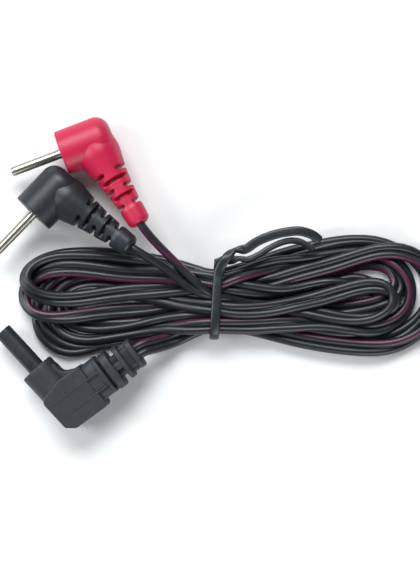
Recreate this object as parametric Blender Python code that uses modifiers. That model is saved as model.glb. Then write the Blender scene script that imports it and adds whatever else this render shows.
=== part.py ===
"""Electrode lead set for a nerve stimulator, tied for storage.

A figure-8 twin lead runs from an angled, shrouded device plug into a hank held by a wire tie. At the
hank's end it splits into two single leads, one to a red and one to a black angled plug with a 2 mm pin.
Metres, +Z up. The origin is on the table, under the centre of the whole set's box.
"""

import math

import bmesh
import bpy
import numpy as np
from mathutils import Euler, Matrix, Vector

# Driving dimensions, in metres.
GAP = 0.0003  # running gap between pieces that touch on the real object
WIRE_RADIUS = 0.0009  # insulation of one conductor
TWIN_OFFSET = WIRE_RADIUS + GAP / 2  # from the twin's centre to each conductor's axis
COPPER_RADIUS = 0.00045

# Pin plug, in a frame whose X runs down the tail and whose origin is where tail and head axes meet.
PIN_RADIUS = 0.0010
PIN_REACH = 0.0179  # pin tip, from the origin along the head's axis
HEAD_RADIUS = 0.00475
HEAD_FACE = 0.0067
HEAD_BACK = 0.0045
TAIL_LENGTH = 0.0202
TAIL_RADII = ((0.0, 0.0044), (0.004, 0.0041), (0.0085, 0.00325), (0.011, 0.0029), (0.0155, 0.00245))
TAIL_END_RADIUS = 0.0022
SLOT_FIRST = 0.0080
SLOT_PITCH = 0.0019
SLOT_COUNT = 5
SLOT_WIDTH = 0.0009
SLOT_WEB = 0.0011  # half the width of the two bridges left across each slot
TAIL_CORE_RADIUS = 0.0015
WIRE_BORE = WIRE_RADIUS + GAP

# Device plug, in a frame whose X runs down the tail; the barrel stands at BARREL_ANGLE to it.
BARREL_ANGLE = math.radians(95.5)
BARREL_TIP = 0.0205
BARREL_RADIUS = 0.00188
SHROUD_BORE = 0.0015
SLEEVE_RADIUS = 0.001175  # 2.35 mm sleeve contact
COVER_HALF_HEIGHT = 0.00375
COVER_OUTLINE = (
    (-0.00465, 0.0099), (0.00285, 0.0101), (0.0031, 0.0060), (0.0046, 0.0051), (0.0102, 0.0047),
    (0.0102, -0.0041), (0.0076, -0.0045), (0.0067, -0.0054), (-0.0013, -0.0052), (-0.0032, -0.0038),
)
RELIEF_CORE = (0.00255, 0.0015)  # half width and half height of the sleeve around the twin lead
RELIEF_DISCS = (  # start, end, half width, half height
    (0.0107, 0.0126, 0.0043, 0.0034),
    (0.0140, 0.0152, 0.0039, 0.0030),
    (0.0168, 0.0181, 0.0034, 0.0027),
)
RELIEF_END = RELIEF_DISCS[-1][1]
RELIEF_WEB = 0.00095  # half the width of the bridges between discs

# Where each plug's own frame stands: place, then tail heading, lift of the tail and roll, in degrees.
RED_PLACE = ((-0.0269, 0.0272, 0.0049), (-59.0, 8.0, 0.0))
RED_LEAN = 10.5  # how far the head leans past square from the tail, in degrees
BLACK_PLACE = ((-0.0345, 0.0170, 0.00485), (-36.5, 9.0, -5.0))
BLACK_LEAN = 6.5
DEVICE_PLACE = ((-0.03177, -0.02734, 0.0041), (37.0, 5.0, 0.0))

# Hank and tie.
HANK_HEIGHT = 0.0046
HANK_OUTLINE = (
    (-0.0434, -0.0030), (-0.0417, 0.0009), (-0.0368, 0.0029), (-0.0295, 0.0043), (-0.0232, 0.0043),
    (-0.0148, 0.0026), (-0.0075, 0.0011), (-0.0008, 0.0008), (0.0041, 0.0011), (0.0104, 0.0037),
    (0.0167, 0.0055), (0.0251, 0.0066), (0.0335, 0.0062), (0.0408, 0.0045), (0.0456, 0.0007),
    (0.0473, -0.0044), (0.0461, -0.0098), (0.0419, -0.0144), (0.0365, -0.0167), (0.0303, -0.0176),
    (0.0230, -0.0165), (0.0146, -0.0144), (0.0062, -0.0127), (-0.0009, -0.0123), (-0.0055, -0.0128),
    (-0.0085, -0.0138), (-0.0101, -0.0126), (-0.0145, -0.0115), (-0.0195, -0.0120), (-0.0236, -0.0148),
    (-0.0263, -0.0162), (-0.0306, -0.0166), (-0.0358, -0.0155), (-0.0394, -0.0127), (-0.0417, -0.0096),
    (-0.0431, -0.0064),
)
TIE_CENTRE = Vector((-0.00084, -0.0056, 0.00375))
TIE_ACROSS = Vector((math.sin(math.radians(3.5)), math.cos(math.radians(3.5)), 0.0))
TIE_HALF_WIDTH = 0.0080
TIE_HALF_HEIGHT = 0.0030
TIE_SQUARENESS = 0.7  # 1 is an ellipse, 0 a rectangle
TIE_RADIUS = 0.00075
TIE_BORE = 0.00035
TIE_WIRE = 0.00025
TIE_KNOT = ((0.0010, 0.0026, 0.0060), (0.0034, 0.0037, 0.0062))  # axis of the twist
TIE_OUTER_ARM = (
    (0.0052, 0.0048, 0.0064), (0.0072, 0.0061, 0.0066), (0.0100, 0.0074, 0.0070), (0.01355, 0.0083, 0.0072),
    (0.0167, 0.0085, 0.0072), (0.0192, 0.0077, 0.0068), (0.0209, 0.0064, 0.0062),
)
TIE_INNER_ARM = (
    (0.0054, 0.0026, 0.0062), (0.0079, 0.0036, 0.0060), (0.0100, 0.0049, 0.0058), (0.0125, 0.0061, 0.0058),
    (0.0148, 0.0066, 0.0058), (0.0167, 0.0063, 0.0058), (0.0182, 0.0055, 0.0058), (0.0196, 0.0046, 0.0058),
)

# Hand-laid stretches of the leads between the plugs and the hank, after the point where each leaves its plug.
RED_ROUTE = (
    (-0.0138, 0.0067, 0.0074), (-0.0116, 0.0042, 0.0070), (-0.0095, 0.0022, 0.0065),
    (-0.0074, 0.0006, 0.0061), (-0.0053, -0.0008, 0.0059), (-0.0032, -0.0022, 0.0058),
)
BLACK_ROUTE = (
    (-0.0144, 0.0030, 0.0075), (-0.0117, 0.0011, 0.0070), (-0.0089, -0.0011, 0.0064),
    (-0.0064, -0.0030, 0.0060), (-0.0036, -0.0050, 0.0058),
)
DEVICE_ROUTE = ((-0.0146, -0.0154, 0.0048), (-0.0128, -0.0148, 0.0042), (-0.0113, -0.0145, 0.0037))

ROUND_STEPS = 24
SMALL_STEPS = 16


def collection(name):
    made = bpy.data.collections.new(name)
    bpy.context.scene.collection.children.link(made)
    return made


def material(name, colour, roughness, metallic=0.0):
    made = bpy.data.materials.new(name)
    made.use_nodes = True
    shader = made.node_tree.nodes["Principled BSDF"]
    shader.inputs["Base Color"].default_value = (*colour, 1.0)
    shader.inputs["Roughness"].default_value = roughness
    shader.inputs["Metallic"].default_value = metallic
    return made


def add(name, data, home, finish=None):
    """A new object from mesh or curve data, in a collection; a cutter has no finish and isn't rendered."""
    made = bpy.data.objects.new(name, data)
    home.objects.link(made)
    if finish is None:
        made.hide_render = True
        made.display_type = "WIRE"
    else:
        made.data.materials.append(finish)
    return made


def frame(name, home, place):
    """An empty that stands for a plug's own frame."""
    location, (heading, lift, roll) = place
    made = bpy.data.objects.new(name, None)
    made.location = location
    made.rotation_euler = Euler((math.radians(roll), math.radians(-lift), math.radians(heading)))
    home.objects.link(made)
    return made


def lay_along(thing, parent, angle, offset=(0.0, 0.0, 0.0)):
    """Turns a piece made about Z to lie along a direction in its parent's XY plane."""
    thing.parent = parent
    thing.rotation_euler = (0.0, math.pi / 2, angle)
    thing.location = offset


def turned(name, profile, home, finish=None, steps=ROUND_STEPS, closed=False):
    """A body turned about Z from (radius, height) points listed down its outer side."""
    mesh = bpy.data.meshes.new(name)
    count = len(profile)
    edges = [(i, i + 1) for i in range(count - 1)]
    if closed:
        edges.append((count - 1, 0))
    mesh.from_pydata([(radius, 0.0, height) for radius, height in profile], edges, [])
    made = add(name, mesh, home, finish)
    screw = made.modifiers.new("Turn", "SCREW")
    screw.steps = steps
    screw.render_steps = steps
    screw.use_merge_vertices = True
    screw.merge_threshold = 0.000001
    return made


def block(name, low, high, home, finish=None, edge=0.0):
    """A box between two corners, with its edges rounded if edge is given."""
    mesh = bpy.data.meshes.new(name)
    shape = bmesh.new()
    bmesh.ops.create_cube(shape, size=1.0)
    low, high = Vector(low), Vector(high)
    bmesh.ops.scale(shape, vec=high - low, verts=shape.verts)
    bmesh.ops.translate(shape, vec=(high + low) / 2, verts=shape.verts)
    shape.to_mesh(mesh)
    shape.free()
    made = add(name, mesh, home, finish)
    if edge:
        bevel = made.modifiers.new("Edge", "BEVEL")
        bevel.width = edge
        bevel.segments = 2
    return made


def boolean(target, other, operation):
    modifier = target.modifiers.new(operation.title(), "BOOLEAN")
    modifier.operation = operation
    modifier.object = other


def smooth_points(points, step, closed=False):
    """Points at about equal steps along the Catmull-Rom curve through the given ones."""
    knots = np.array(points, dtype=float)
    if closed:
        padded = np.vstack([knots[-1:], knots, knots[:2]])
    else:
        padded = np.vstack([2 * knots[0] - knots[1], knots, 2 * knots[-1] - knots[-2]])
    fine = np.linspace(0.0, 1.0, 24, endpoint=False)[:, None]
    spans = []
    for a, b, c, d in zip(padded, padded[1:], padded[2:], padded[3:]):
        cubic = (3 * b - a - 3 * c + d) * fine**3 + (2 * a - 5 * b + 4 * c - d) * fine**2
        spans.append(0.5 * (cubic + (c - a) * fine + 2 * b))
    dense = np.vstack(spans + [knots[:1] if closed else knots[-1:]])
    run = np.concatenate([[0.0], np.cumsum(np.linalg.norm(np.diff(dense, axis=0), axis=1))])
    count = max(2, round(run[-1] / step))
    marks = np.linspace(0.0, run[-1], count + 1)
    if closed:
        marks = marks[:-1]
    return np.column_stack([np.interp(marks, run, dense[:, axis]) for axis in range(dense.shape[1])])


def tube(name, points, radius, home, finish=None):
    """A round tube along a list of points, as a curve with filled caps."""
    data = bpy.data.curves.new(name, "CURVE")
    data.dimensions = "3D"
    data.bevel_depth = radius
    data.bevel_resolution = 2
    data.use_fill_caps = True
    spline = data.splines.new("POLY")
    spline.points.add(len(points) - 1)
    spline.points.foreach_set("co", np.column_stack([points, np.ones(len(points))]).ravel())
    return add(name, data, home, finish)


def prism(name, outline, low, high, home, finish=None):
    """A flat outline filled and drawn up between two heights."""
    data = bpy.data.curves.new(name, "CURVE")
    data.dimensions = "2D"
    data.fill_mode = "BOTH"
    data.extrude = (high - low) / 2
    spline = data.splines.new("POLY")
    spline.use_cyclic_u = True
    spline.points.add(len(outline) - 1)
    for point, place in zip(spline.points, outline):
        point.co = (*place, 0.0, 1.0)
    made = add(name, data, home, finish)
    made.location.z = (low + high) / 2
    return as_mesh(made, home, finish)


def as_mesh(curve, home, finish=None):
    """The curve's evaluated shape as a mesh object with its caps joined on, in the curve's place."""
    bpy.context.view_layer.update()
    evaluated = curve.evaluated_get(bpy.context.evaluated_depsgraph_get())
    mesh = bpy.data.meshes.new_from_object(evaluated)
    shape = bmesh.new()
    shape.from_mesh(mesh)
    bmesh.ops.remove_doubles(shape, verts=shape.verts, dist=0.000001)
    bmesh.ops.recalc_face_normals(shape, faces=shape.faces)
    shape.to_mesh(mesh)
    shape.free()
    name = curve.name
    place = curve.matrix_world.copy()
    bpy.data.objects.remove(curve)
    mesh.materials.clear()
    made = add(name, mesh, home, finish)
    made.matrix_world = place
    return made


def smooth_shade(thing, angle=35.0):
    if thing.type == "MESH":
        thing.data.shade_smooth()
        thing.data.set_sharp_from_angle(angle=math.radians(angle))


def tail_radius(reach):
    reaches, radii = zip(*TAIL_RADII, (TAIL_LENGTH, TAIL_END_RADIUS))
    return float(np.interp(reach, reaches, radii))


def tail_shape(name, parent, cutters):
    """The tapered tail with ring slots cut to its core, and two bridges left across each slot in turn."""
    half = SLOT_WIDTH / 2
    edge = 0.0006
    profile = [(0.0, TAIL_LENGTH), (TAIL_END_RADIUS * 0.72, TAIL_LENGTH), (TAIL_END_RADIUS, TAIL_LENGTH - edge)]
    slots = [SLOT_FIRST + index * SLOT_PITCH for index in range(SLOT_COUNT)]
    for centre in reversed(slots):
        high, low = centre + half, centre - half
        profile += [(tail_radius(high), high), (TAIL_CORE_RADIUS, high), (TAIL_CORE_RADIUS, low),
                    (tail_radius(low), low)]
    profile += [(radius, reach) for reach, radius in reversed(TAIL_RADII) if reach < slots[0]]
    profile.append((0.0, 0.0))
    tail = turned(name, profile, cutters)
    lay_along(tail, parent, 0.0)
    overlap = 0.0002
    for index, centre in enumerate(slots):
        reach = tail_radius(centre) - 0.0002
        wide, deep = (SLOT_WEB, reach) if index % 2 == 0 else (reach, SLOT_WEB)
        bridge = block(f"{name}_bridge_{index + 1}", (-deep, -wide, centre - half - overlap),
                       (deep, wide, centre + half + overlap), cutters)
        lay_along(bridge, parent, 0.0)
        boolean(tail, bridge, "UNION")
    return tail


def pin_plug(colour, place, lean, finishes, parts, cutters):
    """A moulded plug with its pin, pin bush, crimp and copper, all in the plug's own frame."""
    home = frame(colour + "_plug_frame", parts, place)
    to_pin = math.radians(-90.0 - lean)
    shoulder = 0.0006
    head_profile = [(0.0, HEAD_FACE), (HEAD_RADIUS - shoulder, HEAD_FACE), (HEAD_RADIUS, HEAD_FACE - shoulder)]
    corner = 0.0032
    for angle in np.radians(np.linspace(0.0, 90.0, 5)):
        radius = HEAD_RADIUS - corner + corner * math.cos(angle)
        head_profile.append((radius, -HEAD_BACK + corner - corner * math.sin(angle)))
    head_profile.append((0.0, -HEAD_BACK))
    cover = turned(colour + "_plug_cover", head_profile, parts, finishes["cover"])
    lay_along(cover, home, to_pin)

    boolean(cover, tail_shape(colour + "_tail_shape", home, cutters), "UNION")

    bush_radius, bush_low, bush_high = 0.0027, 0.0021, 0.0057
    head_room = turned(colour + "_head_room", (
        (0.0, HEAD_FACE + 0.001), (PIN_RADIUS + GAP, HEAD_FACE + 0.001), (PIN_RADIUS + GAP, bush_high + GAP),
        (bush_radius + GAP, bush_high + GAP), (bush_radius + GAP, bush_low - GAP),
        (0.0019, bush_low - GAP), (0.0019, -0.0018), (0.0, -0.0018),
    ), cutters)
    lay_along(head_room, home, to_pin)
    crimp_low, crimp_high, crimp_radius = 0.0020, 0.0060, 0.00145
    tail_room = turned(colour + "_tail_room", (
        (0.0, TAIL_LENGTH + 0.001), (WIRE_BORE, TAIL_LENGTH + 0.001), (WIRE_BORE, crimp_high + GAP),
        (crimp_radius + GAP, crimp_high + GAP), (crimp_radius + GAP, -0.0005), (0.0, -0.0005),
    ), cutters)
    lay_along(tail_room, home, 0.0)
    boolean(cover, head_room, "DIFFERENCE")
    boolean(cover, tail_room, "DIFFERENCE")

    chamfer = 0.0002
    pin = turned(colour + "_pin", (
        (0.0, PIN_REACH), (PIN_RADIUS - chamfer, PIN_REACH), (PIN_RADIUS, PIN_REACH - chamfer),
        (PIN_RADIUS, 0.0015), (0.0015, 0.0015), (0.0015, 0.0009), (0.0, 0.0009),
    ), parts, finishes["pin"])
    lay_along(pin, home, to_pin)
    bush = turned(colour + "_pin_bush", (
        (bush_radius, bush_high), (bush_radius, bush_low),
        (PIN_RADIUS + GAP, bush_low), (PIN_RADIUS + GAP, bush_high),
    ), parts, finishes["bush"], closed=True)
    lay_along(bush, home, to_pin)
    crimp = turned(colour + "_crimp", (
        (crimp_radius, crimp_high), (crimp_radius, crimp_low),
        (crimp_radius - 0.0004, crimp_low), (crimp_radius - 0.0004, crimp_high),
    ), parts, finishes["crimp"], steps=SMALL_STEPS, closed=True)
    lay_along(crimp, home, 0.0)
    copper = turned(colour + "_copper", (
        (0.0, crimp_high + 0.0002), (COPPER_RADIUS, crimp_high + 0.0002),
        (COPPER_RADIUS, crimp_low - 0.0002), (0.0, crimp_low - 0.0002),
    ), parts, finishes["copper"], steps=SMALL_STEPS)
    lay_along(copper, home, 0.0)
    for piece in (cover, pin, bush, crimp, copper):
        smooth_shade(piece)
    return home


def relief_pieces(home, cutters):
    """The sleeve, discs and bridges of the device plug's strain relief."""
    width, height = RELIEF_CORE
    start = COVER_OUTLINE[4][0] - 0.001
    pieces = [block("relief_sleeve", (start, -width, -height), (RELIEF_END - 0.0005, width, height), cutters)]
    for index, (low, high, half_width, half_height) in enumerate(RELIEF_DISCS):
        name = f"relief_disc_{index + 1}"
        pieces.append(block(name, (low, -half_width, -half_height), (high, half_width, half_height),
                            cutters, edge=0.0004))
        before = COVER_OUTLINE[4][0] if index == 0 else RELIEF_DISCS[index - 1][1]
        low_x, high_x = before - 0.0004, low + 0.0004
        inset = 0.00035
        if index == 1:
            corner = (RELIEF_WEB, half_height - inset)
        else:
            corner = (half_width - inset, RELIEF_WEB)
        pieces.append(block(name + "_bridge", (low_x, -corner[0], -corner[1]), (high_x, *corner), cutters))
    for piece in pieces:
        piece.parent = home
    return pieces


def device_plug(place, finishes, parts, cutters):
    """The shrouded plug: cover, shroud, inner mould, two contacts with their lugs and the copper ends."""
    home = frame("device_plug_frame", parts, place)
    half = COVER_HALF_HEIGHT
    cover = prism("device_plug_cover", COVER_OUTLINE, -half, half, parts, finishes["cover"])
    cover.parent = home
    cover.matrix_basis = Matrix.Identity(4)
    bevel = cover.modifiers.new("Edge", "BEVEL")
    bevel.width = 0.0006
    bevel.segments = 2
    bevel.limit_method = "ANGLE"
    bevel.angle_limit = math.radians(25.0)
    for piece in relief_pieces(home, cutters):
        boolean(cover, piece, "UNION")
    top_panel = block("grip_recess", (0.0063, -0.0016, half - 0.0003), (0.0093, 0.0016, half + 0.001), cutters)
    bottom_panel = block("grip_recess_under", (0.0063, -0.0016, -half - 0.001),
                         (0.0093, 0.0016, -half + 0.0003), cutters)
    mould_low, mould_high, mould_radius = 0.0043, 0.0077, 0.0029
    flange_low, flange_high = 0.0080, 0.0090
    barrel_room = turned("barrel_room", (
        (0.0, 0.0125), (BARREL_RADIUS + GAP, 0.0125), (BARREL_RADIUS + GAP, flange_high + GAP),
        (mould_radius + GAP, flange_high + GAP), (mould_radius + GAP, mould_low - GAP),
        (0.0022, mould_low - GAP), (0.0022, -0.0010), (0.0, -0.0010),
    ), cutters)
    lay_along(barrel_room, home, BARREL_ANGLE)
    joint_room = block("joint_room", (-0.0012, -0.0026, -0.0019), (0.0061, 0.0026, 0.0019), cutters)
    lead_half = TWIN_OFFSET + WIRE_RADIUS + GAP
    lead_room = block("lead_room", (0.005, -lead_half, -WIRE_BORE), (RELIEF_END + 0.001, lead_half, WIRE_BORE),
                      cutters)
    for cutter in (top_panel, bottom_panel, joint_room, lead_room):
        cutter.parent = home
    for cutter in (top_panel, bottom_panel, barrel_room, joint_room, lead_room):
        boolean(cover, cutter, "DIFFERENCE")

    shroud = turned("device_shroud", (
        (BARREL_RADIUS - 0.0001, BARREL_TIP), (BARREL_RADIUS, BARREL_TIP - 0.0001), (BARREL_RADIUS, flange_high),
        (mould_radius, flange_high), (mould_radius, flange_low), (SHROUD_BORE, flange_low),
        (SHROUD_BORE, BARREL_TIP),
    ), parts, finishes["shroud"], closed=True)
    inner = turned("device_inner_mould", (
        (mould_radius, mould_high), (mould_radius, mould_low), (SHROUD_BORE, mould_low), (SHROUD_BORE, mould_high),
    ), parts, finishes["bush"], closed=True)
    tubes = {  # outer radius, inner radius, outer end, inner end along the barrel
        "device_sleeve_contact": (SLEEVE_RADIUS, 0.00095, BARREL_TIP - 0.0009, 0.0030, "pin"),
        "device_contact_insulator": (0.00088, 0.00067, BARREL_TIP - 0.0011, 0.0012, "insulator"),
        "device_centre_contact": (0.00060, 0.00038, BARREL_TIP - 0.0013, 0.0005, "crimp"),
    }
    pieces = [cover, shroud, inner]
    for name, (outer, bore, tip, root, finish) in tubes.items():
        pieces.append(turned(name, ((outer, tip), (outer, root), (bore, root), (bore, tip)),
                             parts, finishes[finish], steps=SMALL_STEPS, closed=True))
    for piece in pieces[1:]:
        lay_along(piece, home, BARREL_ANGLE)
    lugs = {
        "device_sleeve_lug": ((0.00125, 0.00175, -0.0007), (0.0044, 0.00210, 0.0007), "pin"),
        "device_centre_lug": ((-0.0006, -0.00015, -0.0005), (0.0042, 0.00015, 0.0005), "crimp"),
    }
    for name, (low, high, finish) in lugs.items():
        lug = block(name, low, high, parts, finishes[finish])
        lug.parent = home
    for name, side in (("device_copper_plain", -1), ("device_copper_striped", 1)):
        copper = turned(name, ((0.0, 0.0062), (COPPER_RADIUS, 0.0062), (COPPER_RADIUS, 0.0032), (0.0, 0.0032)),
                        parts, finishes["copper"], steps=SMALL_STEPS)
        lay_along(copper, home, 0.0, (0.0, side * TWIN_OFFSET, 0.0))
        pieces.append(copper)
    for piece in pieces:
        smooth_shade(piece)
    return home


def lead(name, home, start, exit_point, route, side, finish, parts):
    """One conductor from inside a plug's tail, out of it and along its hand-laid stretch."""
    bpy.context.view_layer.update()
    place = home.matrix_world
    across = place.to_3x3() @ Vector((0.0, side * TWIN_OFFSET, 0.0))
    inside = [place @ Vector((reach, 0.0, 0.0)) + across for reach in (start, (start + exit_point) / 2, exit_point)]
    leading = place @ Vector((exit_point + 0.0012, 0.0, 0.0)) + across
    points = [*inside, leading] + [Vector(point) + across for point in route]
    return tube(name, smooth_points(points, 2.2 * WIRE_RADIUS), WIRE_RADIUS, parts, finish)


def oval(turn, half_width, half_height):
    """Points of the tie's flattened oval at the given angles, as (across, upward) from its centre."""
    across = np.sign(np.cos(turn)) * np.abs(np.cos(turn)) ** TIE_SQUARENESS * half_width
    upward = np.sign(np.sin(turn)) * np.abs(np.sin(turn)) ** TIE_SQUARENESS * half_height
    return np.column_stack([across, upward])


def hank(finish, device_home, parts, cutters):
    """The tied hank's outer shape, with a groove inside the tie and room for the plug's strain relief."""
    outline = smooth_points(HANK_OUTLINE, 0.0024, closed=True)
    body = prism("cord_hank", outline, 0.0, HANK_HEIGHT, parts, finish)
    room = TIE_RADIUS + GAP
    groove = block("tie_groove", (-room, -0.02, -0.001), (room, 0.02, 0.012), cutters)
    groove.location = (TIE_CENTRE.x, TIE_CENTRE.y, 0.0)
    groove.rotation_euler.z = -math.atan2(TIE_ACROSS.x, TIE_ACROSS.y)
    waist_outline = oval(np.linspace(0.0, 2 * np.pi, 32, endpoint=False),
                         TIE_HALF_WIDTH - room, TIE_HALF_HEIGHT - room)
    waist = prism("waist_core", waist_outline, -0.003, 0.003, cutters)
    up = Vector((0.0, 0.0, 1.0))
    waist.matrix_world = Matrix.LocRotScale(
        TIE_CENTRE, Matrix((TIE_ACROSS, up, TIE_ACROSS.cross(up))).transposed(), None)
    boolean(groove, waist, "DIFFERENCE")
    clear = 0.0004
    relief = block("relief_room", (0.009, -0.006, -0.01), (RELIEF_END + clear, 0.0047 + clear, 0.01), cutters)
    relief.parent = device_home
    boolean(body, groove, "DIFFERENCE")
    boolean(body, relief, "DIFFERENCE")
    return body


def tie_path():
    """The tie's centre line: one free arm, the twist, once round the hank, the twist again, the other arm."""
    ring = np.array(TIE_CENTRE) + oval(np.radians(np.linspace(62.0, 382.0, 33)),
                                       TIE_HALF_WIDTH, TIE_HALF_HEIGHT) @ np.array((TIE_ACROSS, (0.0, 0.0, 1.0)))
    knot_low, knot_high = np.array(TIE_KNOT)
    along = (knot_high - knot_low) / np.linalg.norm(knot_high - knot_low)
    side = np.cross(along, (0.0, 0.0, 1.0))
    up = np.cross(side, along)
    share = np.linspace(0.0, 1.0, 4)[:, None]
    angle = np.pi / 2 * (1.0 + share)
    swing = (np.cos(angle) * side + np.sin(angle) * up) * (TIE_RADIUS + 2 * GAP / 3)
    line = knot_low + share * (knot_high - knot_low)
    first = (line + swing)[::-1]
    second = line - swing
    return np.vstack([TIE_OUTER_ARM[::-1], first, ring, second, TIE_INNER_ARM])


def tie(finish, core_finish, parts, cutters):
    """The tie's jacket with its bore open at both ends, and the steel wire in it."""
    path = smooth_points(tie_path(), 0.0011)
    jacket = as_mesh(tube("tie_jacket", path, TIE_RADIUS, parts, finish), parts, finish)
    ends = [2 * path[0] - path[1], 2 * path[-1] - path[-2]]
    longer = np.vstack([ends[0], path, ends[1]])
    bore = as_mesh(tube("tie_bore", longer, TIE_BORE, cutters), cutters)
    boolean(jacket, bore, "DIFFERENCE")
    tube("tie_core_wire", path[1:-1], TIE_WIRE, parts, core_finish)
    smooth_shade(jacket)


def main():
    for thing in list(bpy.data.objects):
        bpy.data.objects.remove(thing)
    parts = collection("electrode_lead_set")
    cutters = collection("cutters")
    metal = material("nickel", (0.66, 0.64, 0.58), 0.28, 1.0)
    crimp = material("tinned brass", (0.70, 0.62, 0.42), 0.38, 1.0)
    copper = material("copper strands", (0.72, 0.38, 0.22), 0.45, 1.0)
    black_cover = material("black plug cover", (0.030, 0.036, 0.042), 0.48)
    black_insulation = material("black insulation", (0.016, 0.018, 0.021), 0.34)
    shared = {"pin": metal, "crimp": crimp, "copper": copper,
              "bush": material("hard inner mould", (0.05, 0.05, 0.055), 0.5)}
    red = {**shared, "cover": material("red plug cover", (0.68, 0.021, 0.085), 0.42)}
    black = {**shared, "cover": black_cover}
    device = {**shared, "cover": material("device plug cover", (0.034, 0.041, 0.046), 0.56),
              "shroud": material("device shroud", (0.028, 0.035, 0.040), 0.5),
              "insulator": material("contact insulator", (0.55, 0.55, 0.52), 0.5)}

    red_home = pin_plug("red", RED_PLACE, RED_LEAN, red, parts, cutters)
    black_home = pin_plug("black", BLACK_PLACE, BLACK_LEAN, black, parts, cutters)
    device_home = device_plug(DEVICE_PLACE, device, parts, cutters)

    striped = material("striped insulation", (0.060, 0.012, 0.040), 0.34)
    wire_start = 0.0066
    lead("red_lead_wire", red_home, wire_start, TAIL_LENGTH, RED_ROUTE, 0, striped, parts)
    lead("black_lead_wire", black_home, wire_start, TAIL_LENGTH, BLACK_ROUTE, 0, black_insulation, parts)
    lead("device_lead_plain", device_home, wire_start, RELIEF_END, DEVICE_ROUTE, -1, black_insulation, parts)
    lead("device_lead_striped", device_home, wire_start, RELIEF_END, DEVICE_ROUTE, 1, striped, parts)
    hank(material("hank insulation", (0.016, 0.018, 0.021), 0.36), device_home, parts, cutters)
    tie(material("tie jacket", (0.022, 0.027, 0.030), 0.38), metal, parts, cutters)


main()
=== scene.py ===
"""Looks of a tied electrode lead set: moulded plugs, nickel pins, a figure-8 twin lead in a hank, a wire tie.

Every new piece is a section carried along a line, worked out as whole numpy arrays. Metres, +Z up.
"""

import math

import bmesh
import bpy
import numpy as np
from mathutils import Euler, Matrix, Vector


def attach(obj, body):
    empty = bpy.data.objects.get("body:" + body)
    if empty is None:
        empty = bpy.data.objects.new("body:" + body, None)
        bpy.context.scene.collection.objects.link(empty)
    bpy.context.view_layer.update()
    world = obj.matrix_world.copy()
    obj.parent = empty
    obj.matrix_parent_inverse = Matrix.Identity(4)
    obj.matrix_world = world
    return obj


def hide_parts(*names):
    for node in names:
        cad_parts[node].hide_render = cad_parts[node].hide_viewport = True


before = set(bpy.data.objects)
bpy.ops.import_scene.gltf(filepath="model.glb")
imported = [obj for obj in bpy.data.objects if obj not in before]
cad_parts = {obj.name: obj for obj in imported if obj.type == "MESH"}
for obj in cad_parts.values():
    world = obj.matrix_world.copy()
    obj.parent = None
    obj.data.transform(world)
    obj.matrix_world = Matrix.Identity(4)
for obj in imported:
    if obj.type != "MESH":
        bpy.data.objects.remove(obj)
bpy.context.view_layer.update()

MM = 0.001

# Lead: figure-8 twin, one plain conductor and one with a coloured stripe.
WIRE_RADIUS = 0.9 * MM
TWIN_PITCH = 2 * WIRE_RADIUS
LEAD_STEP = 1.0 * MM
WELD = 0.002 * MM
SETTLE_ROUNDS = 700

# Plug frames, as in the CAD part: place, then tail heading, lift and roll in degrees.
RED_PLACE = ((-0.0269, 0.0272, 0.0049), (-59.0, 8.0, 0.0))
RED_LEAN = 10.5
BLACK_PLACE = ((-0.0345, 0.0170, 0.00485), (-36.5, 9.0, -5.0))
BLACK_LEAN = 6.5
DEVICE_PLACE = ((-0.03177, -0.02734, 0.0041), (37.0, 5.0, 0.0))
BARREL_ANGLE = 95.5
TAIL_LENGTH = 20.2 * MM
RELIEF_END = 18.1 * MM

# Places on a pin plug's tail axis where its lead goes in.
INTO_TAIL = (0.0214, TAIL_LENGTH, 0.0186, 0.0170)

# Stretches between the plugs and the hank. The red and black ones are the CAD part's. The device
# plug's keeps within about 1 mm of the CAD part's.
RED_ROUTE = (
    (-0.0138, 0.0067, 0.0074), (-0.0116, 0.0042, 0.0070), (-0.0095, 0.0022, 0.0065),
    (-0.0074, 0.0006, 0.0061), (-0.0053, -0.0008, 0.0059), (-0.0032, -0.0022, 0.0058),
)
BLACK_ROUTE = (
    (-0.0144, 0.0030, 0.0075), (-0.0117, 0.0011, 0.0070), (-0.0089, -0.0011, 0.0064),
    (-0.0064, -0.0030, 0.0060), (-0.0036, -0.0050, 0.0058),
)
DEVICE_ROUTE = ((-0.0146, -0.0154, 0.0047), (-0.0128, -0.0149, 0.0039), (-0.0113, -0.0145, 0.0031))
TOWARDS_WAIST = (-0.0085, -0.0134, 0.0018)
SPLIT = (-0.0046, -0.0026, 0.0057)

# Tie, as in the CAD part.
TIE_CENTRE = np.array((-0.84, -5.6, 3.75)) * MM
TIE_HEADING = math.radians(3.5)
TIE_ACROSS = np.array((math.sin(TIE_HEADING), math.cos(TIE_HEADING), 0.0))
TIE_HALF_WIDTH = 8.0 * MM
TIE_HALF_HEIGHT = 3.0 * MM
TIE_SQUARENESS = 0.7
TIE_REACH = 1.6 * MM
TIE_CLEARANCE = 0.58 * MM

# The hank: each crossing of the tie in winding order: across and height in mm, roll of the twin in degrees.
CROSSINGS = (
    (-10.85, 3.7, 0), (-3.7, 2.1, 0), (-11.6, 5.3, 0), (-0.9, 5.3, 0), (-7.3, 2.1, 0), (-0.1, 2.1, 0),
    (-10.7, 2.1, 180), (0.2, 3.7, 180), (-3.3, 3.7, 180), (-7.1, 3.7, 540), (-8.2, 5.3, 540), (-4.4, 5.3, 540),
)
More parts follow.
